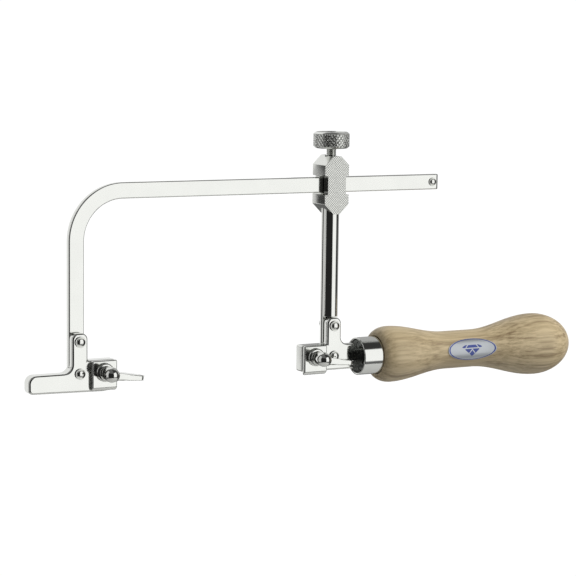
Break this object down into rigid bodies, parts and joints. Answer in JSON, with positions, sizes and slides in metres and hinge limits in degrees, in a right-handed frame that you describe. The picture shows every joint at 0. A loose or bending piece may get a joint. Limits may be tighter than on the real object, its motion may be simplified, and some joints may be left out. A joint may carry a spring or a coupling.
{
  "type": "jeweler saw frame",
  "caption": "Adjustable jeweller's saw frame: a bent flat bar with a sliding clamp block and post, blade clamps with wing screws at both ends, and a turned wooden handle.",
  "frame": {"origin": "where the blade leaves the front clamp: on the inner end of the front jaw, in the plane of its clamping face, on the blade's line and on the handle's axis", "axes": "+X along the blade from the nose clamp to the handle, +Z from the blade up to the bar, -Y the side that the wing screws stand on"},
  "size_m": [0.2924, 0.031, 0.1246],
  "materials": {
    "plated_bar": "polished nickel plate",
    "plated_bracket": "polished nickel plate",
    "plated_jaw": "polished nickel plate",
    "plated_screw": "polished nickel plate",
    "plated_block": "nickel plate, checkered on the front",
    "plated_fastener": "polished nickel plate",
    "plated_ferrule": "polished nickel plate",
    "steel_pin": "plain ground steel",
    "brass_pad": "plain",
    "handle_wood": "satin clear finish on beech",
    "label_foil": "printed silver foil"
  },
  "bodies": {
    "handle_assembly": {"handle": "handle_wood", "handle_label": "label_foil", "ferrule": "plated_ferrule", "rear_bracket": "plated_bracket", "rear_rivet_upper": "plated_fastener", "rear_rivet_lower": "plated_fastener", "rear_guide_pin": "steel_pin", "post_rod": "plated_bar", "slider_block": "plated_block"},
    "frame": {"frame_bar": "plated_bar", "bar_stop_rivet": "plated_fastener", "front_bracket": "plated_bracket", "front_rivet_upper": "plated_fastener", "front_rivet_lower": "plated_fastener", "front_guide_pin": "steel_pin"},
    "front_jaw": {"front_jaw_plate": "plated_jaw"},
    "front_screw": {"front_wing_screw": "plated_screw"},
    "rear_jaw": {"rear_jaw_plate": "plated_jaw"},
    "rear_screw": {"rear_wing_screw": "plated_screw"},
    "clamp_pad": {"pressure_pad": "brass_pad"},
    "clamp": {"clamp_screw": "plated_screw"}
  },
  "joints": [
    {"name": "frame_slide", "type": "slide", "parent": "handle_assembly", "child": "frame", "axis": [-1, 0, 0], "range_m": [-0.065, 0.046]},
    {"name": "front_jaw_slide", "type": "slide", "parent": "frame", "child": "front_jaw", "axis": [0, -1, 0], "range_m": [0, 0.00106]},
    {"name": "front_screw_turn", "type": "hinge", "parent": "front_jaw", "child": "front_screw", "pos_m": [-0.00625, 0, 0.0014], "axis": [0, -1, 0], "range_deg": [0, 540]},
    {"name": "rear_jaw_slide", "type": "slide", "parent": "handle_assembly", "child": "rear_jaw", "axis": [0, -1, 0], "range_m": [0, 0.00106]},
    {"name": "rear_screw_turn", "type": "hinge", "parent": "rear_jaw", "child": "rear_screw", "pos_m": [0.10335, 0, 0.0014], "axis": [0, -1, 0], "range_deg": [0, 540]},
    {"name": "clamp_pad_slide", "type": "slide", "parent": "handle_assembly", "child": "clamp_pad", "axis": [0, 0, 1], "range_m": [0, 0.00173]},
    {"name": "clamp_screw_turn", "type": "hinge", "parent": "clamp_pad", "child": "clamp", "pos_m": [0.11475, 0.006, 0.101], "axis": [0, 0, 1], "range_deg": [0, 720]}
  ],
  "couplings": [
    {"joint": "front_jaw_slide", "follows": "front_screw_turn", "m_per_rad": 0.00011141},
    {"joint": "rear_jaw_slide", "follows": "rear_screw_turn", "m_per_rad": 0.00011141},
    {"joint": "clamp_pad_slide", "follows": "clamp_screw_turn", "m_per_rad": 0.00012732}
  ]
}
